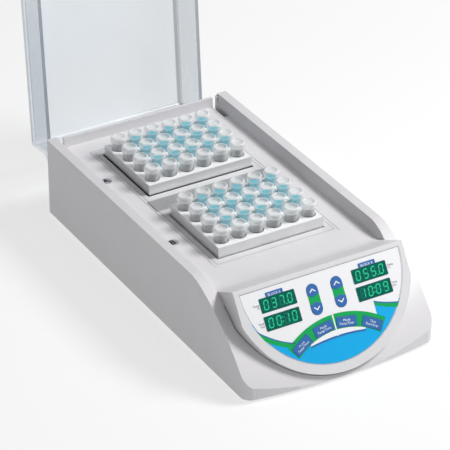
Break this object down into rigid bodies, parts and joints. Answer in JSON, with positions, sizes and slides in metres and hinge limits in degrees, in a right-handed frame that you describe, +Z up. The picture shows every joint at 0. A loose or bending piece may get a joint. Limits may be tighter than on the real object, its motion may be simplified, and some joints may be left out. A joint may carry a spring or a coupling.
{
  "type": "dry block heating bath",
  "caption": "Bench-top dry heating bath with two lift-out metal tube blocks, a sloping half-round control console and a hinged clear lid.",
  "frame": {"origin": "on the table, under the middle of the whole unit's box with its lid open", "axes": "+Z up, -Y towards the operator (the console side), +X to the operator's right"},
  "size_m": [0.171, 0.4065, 0.2721],
  "materials": {
    "housing_plastic": "textured",
    "bezel_plastic": "satin",
    "overlay_film": "satin",
    "key_film": "satin",
    "sheet_steel": "satin",
    "panel_steel": "satin",
    "foot_rubber": "matte",
    "screw_steel": "satin",
    "label_grey": "satin",
    "trim_metal": "satin",
    "block_metal": "satin",
    "cup_metal": "cast",
    "mat_silicone": "matte",
    "foam": "matte",
    "board": "satin",
    "display": "gloss",
    "black_plastic": "satin",
    "standoff_brass": "satin",
    "laminations": "matte",
    "pin_brass": "satin",
    "bracket_steel": "satin",
    "lid_clear": "gloss",
    "fuse_glass": "gloss",
    "tube_plastic": "satin",
    "sample": "gloss"
  },
  "bodies": {
    "chassis": {"housing": "housing_plastic", "console_bezel": "bezel_plastic", "membrane_overlay": "overlay_film", "base_plate": "sheet_steel", "rear_panel": "panel_steel", "rubber_feet": "foot_rubber", "base_screws": "screw_steel", "rear_panel_screws": "screw_steel", "block_labels": "label_grey", "well_trim": "trim_metal", "block_divider": "trim_metal", "heater_cup_rear": "cup_metal", "heater_cup_front": "cup_metal", "heater_mat_rear": "mat_silicone", "heater_mat_front": "mat_silicone", "insulation_rear": "foam", "insulation_front": "foam", "sensor_rear": "screw_steel", "sensor_front": "screw_steel", "control_board": "board", "display_left_upper": "display", "display_left_lower": "display", "display_right_upper": "display", "display_right_lower": "display", "tact_switches": "black_plastic", "power_board": "board", "board_standoffs": "standoff_brass", "transformer": "laminations", "inlet_body": "black_plastic", "inlet_pins": "pin_brass", "switch_body": "black_plastic", "hinge_brackets": "bracket_steel", "hinge_pins": "screw_steel"},
    "lid": {"lid": "lid_clear"},
    "fuse_drawer": {"fuse_drawer": "black_plastic", "fuse": "fuse_glass"},
    "switch_rocker": {"switch_rocker": "black_plastic"},
    "key_left_up": {"key_left_up": "key_film"},
    "key_left_down": {"key_left_down": "key_film"},
    "key_right_up": {"key_right_up": "key_film"},
    "key_right_down": {"key_right_down": "key_film"},
    "key_soft_1": {"key_soft_1": "key_film"},
    "key_soft_2": {"key_soft_2": "key_film"},
    "key_soft_3": {"key_soft_3": "key_film"},
    "key_soft_4": {"key_soft_4": "key_film"},
    "block_rear": {"block_rear": "block_metal"},
    "block_front": {"block_front": "block_metal"},
    "tubes_rear": {"tubes_rear": "tube_plastic", "samples_rear": "sample"},
    "tubes_front": {"tubes_front": "tube_plastic", "samples_front": "sample"}
  },
  "joints": [
    {"name": "lid_hinge", "type": "hinge", "parent": "chassis", "child": "lid", "pos_m": [0, 0.1229, 0.0375], "axis": [-1, 0, 0], "range_deg": [-94, 0]},
    {"name": "block_rear_lift", "type": "slide", "parent": "chassis", "child": "block_rear", "axis": [0, 0, 1], "range_m": [0, 0.08]},
    {"name": "block_front_lift", "type": "slide", "parent": "chassis", "child": "block_front", "axis": [0, 0, 1], "range_m": [0, 0.08]},
    {"name": "tubes_rear_lift", "type": "slide", "parent": "block_rear", "child": "tubes_rear", "axis": [0, 0, 1], "range_m": [0, 0.06]},
    {"name": "tubes_front_lift", "type": "slide", "parent": "block_front", "child": "tubes_front", "axis": [0, 0, 1], "range_m": [0, 0.06]},
    {"name": "fuse_drawer_slide", "type": "slide", "parent": "chassis", "child": "fuse_drawer", "axis": [0, 1, 0], "range_m": [0, 0.018]},
    {"name": "power_switch", "type": "hinge", "parent": "chassis", "child": "switch_rocker", "pos_m": [0.025, 0.1229, 0.0265], "axis": [0, 0, -1], "range_deg": [0, 14]},
    {"name": "key_left_up_press", "type": "slide", "parent": "chassis", "child": "key_left_up", "axis": [0, 0.8387, -0.5446], "range_m": [0, 0.0004], "stiffness_N_per_m": 2500},
    {"name": "key_left_down_press", "type": "slide", "parent": "chassis", "child": "key_left_down", "axis": [0, 0.8387, -0.5446], "range_m": [0, 0.0004], "stiffness_N_per_m": 2500},
    {"name": "key_right_up_press", "type": "slide", "parent": "chassis", "child": "key_right_up", "axis": [0, 0.8387, -0.5446], "range_m": [0, 0.0004], "stiffness_N_per_m": 2500},
    {"name": "key_right_down_press", "type": "slide", "parent": "chassis", "child": "key_right_down", "axis": [0, 0.8387, -0.5446], "range_m": [0, 0.0004], "stiffness_N_per_m": 2500},
    {"name": "key_soft_1_press", "type": "slide", "parent": "chassis", "child": "key_soft_1", "axis": [0, 0.8387, -0.5446], "range_m": [0, 0.0004], "stiffness_N_per_m": 2500},
    {"name": "key_soft_2_press", "type": "slide", "parent": "chassis", "child": "key_soft_2", "axis": [0, 0.8387, -0.5446], "range_m": [0, 0.0004], "stiffness_N_per_m": 2500},
    {"name": "key_soft_3_press", "type": "slide", "parent": "chassis", "child": "key_soft_3", "axis": [0, 0.8387, -0.5446], "range_m": [0, 0.0004], "stiffness_N_per_m": 2500},
    {"name": "key_soft_4_press", "type": "slide", "parent": "chassis", "child": "key_soft_4", "axis": [0, 0.8387, -0.5446], "range_m": [0, 0.0004], "stiffness_N_per_m": 2500}
  ]
}
